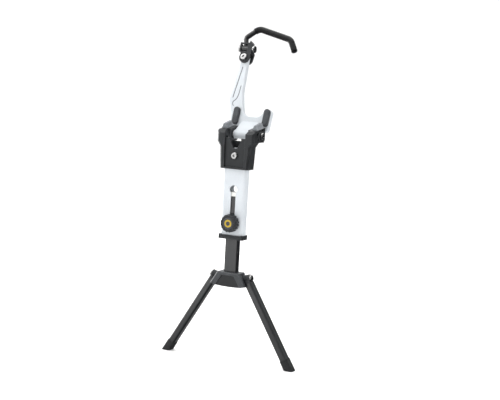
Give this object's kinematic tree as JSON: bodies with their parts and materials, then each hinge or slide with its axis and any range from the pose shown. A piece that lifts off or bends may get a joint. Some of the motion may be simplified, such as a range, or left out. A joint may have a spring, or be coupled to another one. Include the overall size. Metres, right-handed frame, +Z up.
{
  "type": "bicycle repair stand",
  "caption": "Folding bipod bicycle stand: padded bottom-bracket cradle and swinging tube hook on a short telescopic mast with folding legs.",
  "frame": {"origin": "axis of the bicycle's bottom-bracket shell where it lies in the padded cradle, on the stand's middle plane", "axes": "+Z up along the mast, -Y towards the front with the knob, +X to the right seen from the front"},
  "size_m": [0.23, 0.1177, 0.5154],
  "materials": {
    "white_paint": "satin white powder coat",
    "black_moulding": "fine textured black glass-filled nylon",
    "black_gloss": "gloss black anodised or painted tube",
    "chrome": "bright plated fasteners",
    "steel": "plain steel",
    "brass": "turned brass",
    "acetal": "natural acetal",
    "grey_rubber": "ribbed grey rubber",
    "black_rubber": "matte dark rubber",
    "soft_sleeve": "smooth dipped soft sleeve",
    "cap_gloss": "black knob cap with a plain yellow ring mark"
  },
  "bodies": {
    "mast": {"outer_tube": "white_paint", "tube_collar": "black_moulding", "guide_bush": "acetal", "cradle_bracket": "black_moulding", "bracket_bolt": "chrome", "bracket_nut": "chrome", "lower_pad_left": "grey_rubber", "lower_pad_right": "grey_rubber", "pivot_bolt": "chrome", "pivot_nut": "chrome", "pivot_washers": "acetal"},
    "post": {"inner_post": "black_gloss", "post_glide": "acetal", "knob_insert": "brass", "post_plug": "acetal", "crown": "black_moulding", "crown_screw": "steel", "hip_inserts": "brass", "hip_bolts": "chrome"},
    "knob": {"knob_grip": "black_moulding", "knob_cap": "cap_gloss", "knob_stud": "steel", "knob_washer": "acetal"},
    "left_leg": {"left_leg_head": "black_moulding", "left_leg_tube": "black_gloss", "left_leg_pin": "black_gloss", "left_foot": "black_rubber"},
    "right_leg": {"right_leg_head": "black_moulding", "right_leg_tube": "black_gloss", "right_leg_pin": "black_gloss", "right_foot": "black_rubber"},
    "yoke": {"yoke_arm": "white_paint", "yoke_bushes": "acetal", "upper_pad_left": "black_rubber", "upper_pad_right": "black_rubber"},
    "clamp": {"hook_clamp": "black_moulding", "clamp_bolt": "chrome", "clamp_nut": "chrome", "hook_bolt": "chrome", "hook_nut": "chrome"},
    "hook": {"hook_rod": "black_gloss", "hook_sleeve": "soft_sleeve"}
  },
  "joints": [
    {"name": "post_slide", "type": "slide", "parent": "mast", "child": "post", "axis": [0, 0, 1], "range_m": [0, 0.0505]},
    {"name": "knob_turn", "type": "hinge", "parent": "post", "child": "knob", "pos_m": [0, -0.0321, -0.1737], "axis": [0, -1, 0], "continuous": true},
    {"name": "left_hip", "type": "hinge", "parent": "post", "child": "left_leg", "pos_m": [-0.0272, -0.0161, -0.2581], "axis": [0.9627, 0, -0.2706], "range_deg": [0, 172]},
    {"name": "right_hip", "type": "hinge", "parent": "post", "child": "right_leg", "pos_m": [0.0272, -0.0161, -0.2581], "axis": [0.9627, 0, 0.2706], "range_deg": [0, 172]},
    {"name": "yoke_tilt", "type": "hinge", "parent": "mast", "child": "yoke", "pos_m": [0, -0.0021, -0.0397], "axis": [-1, 0, 0], "range_deg": [-20, 45]},
    {"name": "clamp_swing", "type": "hinge", "parent": "yoke", "child": "clamp", "pos_m": [-0.0335, 0.05931, 0.07523], "axis": [0, -0.9397, 0.342], "range_deg": [-75, 90]},
    {"name": "hook_fold", "type": "hinge", "parent": "clamp", "child": "hook", "pos_m": [-0.037, 0.06348, 0.0902], "axis": [-1, 0, 0], "range_deg": [0, 100]}
  ]
}
